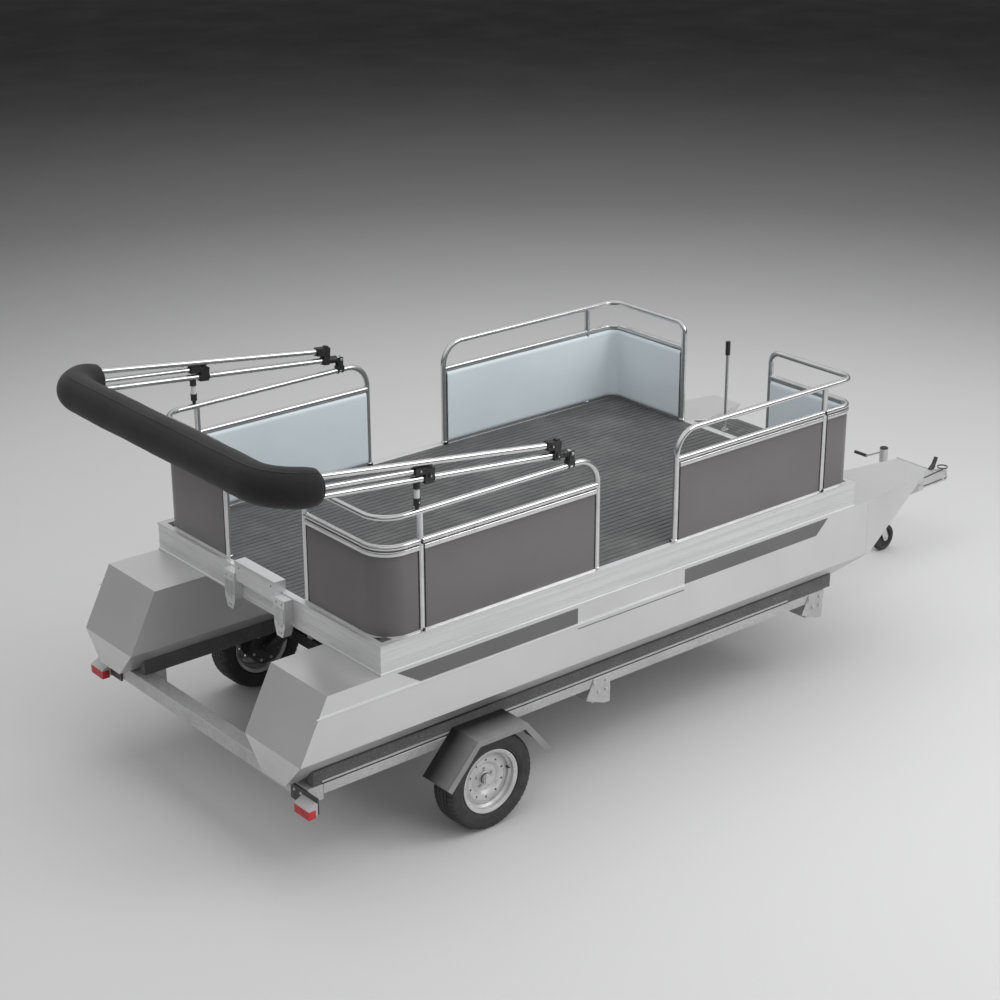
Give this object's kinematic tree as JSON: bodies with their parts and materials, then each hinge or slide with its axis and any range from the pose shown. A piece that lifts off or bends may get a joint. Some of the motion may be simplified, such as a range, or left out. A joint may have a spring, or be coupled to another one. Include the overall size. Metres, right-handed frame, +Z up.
{
  "type": "pontoon boat on a road trailer",
  "caption": "Pontoon boat with a fenced deck and a stowed bimini top, parked on a single-axle bunk trailer that stands on its jockey wheel.",
  "frame": {"origin": "on the floor, at the middle of the overall length and width", "axes": "+X forward, to the bow and the coupling; +Y to port; +Z up"},
  "size_m": [6.7906, 2.55, 2.4231],
  "materials": {
    "hull_paint": "satin white paint",
    "fascia_alu": "satin anodised",
    "rail_tube": "polished",
    "deck_mat": "ribbed, matt",
    "panel_skin": "satin; paler blue-grey inside",
    "black_plastic": "moulded",
    "boot_fabric": "woven canvas",
    "galvanised": "hot-dip zinc",
    "bunk_carpet": "needle felt",
    "axle_paint": "dark paint",
    "rim_silver": "silver paint",
    "tyre_rubber": "rubber",
    "lamp_lens": "ribbed lens",
    "zinc_tube": "zinc plated",
    "pole_steel": "stainless",
    "jockey_rubber": "solid rubber"
  },
  "bodies": {
    "boat_and_trailer": {"pontoon_port": "hull_paint", "pontoon_starboard": "hull_paint", "deck_frame": "fascia_alu", "deck_floor": "deck_mat", "bow_platform": "fascia_alu", "outboard_bracket": "fascia_alu", "fence_stern_port": "rail_tube", "fence_stern_starboard": "rail_tube", "fence_bow_port": "rail_tube", "fence_bow_starboard": "rail_tube", "panel_stern_port": "panel_skin", "panel_stern_starboard": "panel_skin", "panel_bow_port": "panel_skin", "panel_bow_starboard": "panel_skin", "bow_pole": "pole_steel", "bow_pole_grip": "black_plastic", "bimini_mounts": "black_plastic", "bimini_rests": "black_plastic", "side_rails": "galvanised", "cross_members": "galvanised", "bunk_brackets": "galvanised", "drawbar": "galvanised", "bunks_port": "bunk_carpet", "bunks_starboard": "bunk_carpet", "axle": "axle_paint", "suspension_arms": "axle_paint", "mudguard_port": "galvanised", "mudguard_starboard": "galvanised", "tail_lamps": "lamp_lens", "lamp_brackets": "axle_paint", "coupling": "zinc_tube", "coupling_lever": "axle_paint", "handbrake_lever": "zinc_tube", "jockey_tube": "zinc_tube", "jockey_crank": "axle_paint"},
    "bimini": {"bimini_lower_bow": "rail_tube", "bimini_upper_bow": "rail_tube", "bimini_short_bow": "rail_tube", "bimini_fittings": "black_plastic", "bimini_boot": "boot_fabric"},
    "wheel_port": {"hub_port": "axle_paint", "rim_port": "rim_silver", "tyre_port": "tyre_rubber"},
    "wheel_starboard": {"hub_starboard": "axle_paint", "rim_starboard": "rim_silver", "tyre_starboard": "tyre_rubber"},
    "jockey_leg": {"jockey_stem": "zinc_tube"},
    "jockey_caster": {"jockey_fork": "zinc_tube"},
    "jockey_roller": {"jockey_wheel": "jockey_rubber"}
  },
  "joints": [
    {"name": "bimini_raise", "type": "hinge", "parent": "boat_and_trailer", "child": "bimini", "pos_m": [-1.34969, 0, 2.062], "axis": [0, 1, 0], "range_deg": [0, 85]},
    {"name": "wheel_port_spin", "type": "hinge", "parent": "boat_and_trailer", "child": "wheel_port", "pos_m": [-2.03469, 1.1535, 0.297], "axis": [0, 1, 0], "continuous": true},
    {"name": "wheel_starboard_spin", "type": "hinge", "parent": "boat_and_trailer", "child": "wheel_starboard", "pos_m": [-2.03469, -1.1535, 0.297], "axis": [0, 1, 0], "continuous": true},
    {"name": "jockey_lift", "type": "slide", "parent": "boat_and_trailer", "child": "jockey_leg", "axis": [0, 0, 1], "range_m": [0, 0.19]},
    {"name": "jockey_swivel", "type": "hinge", "parent": "jockey_leg", "child": "jockey_caster", "pos_m": [2.66631, 0, 0.27], "axis": [0, 0, 1], "continuous": true},
    {"name": "jockey_spin", "type": "hinge", "parent": "jockey_caster", "child": "jockey_roller", "pos_m": [2.71831, 0, 0.1], "axis": [0, 1, 0], "continuous": true}
  ]
}
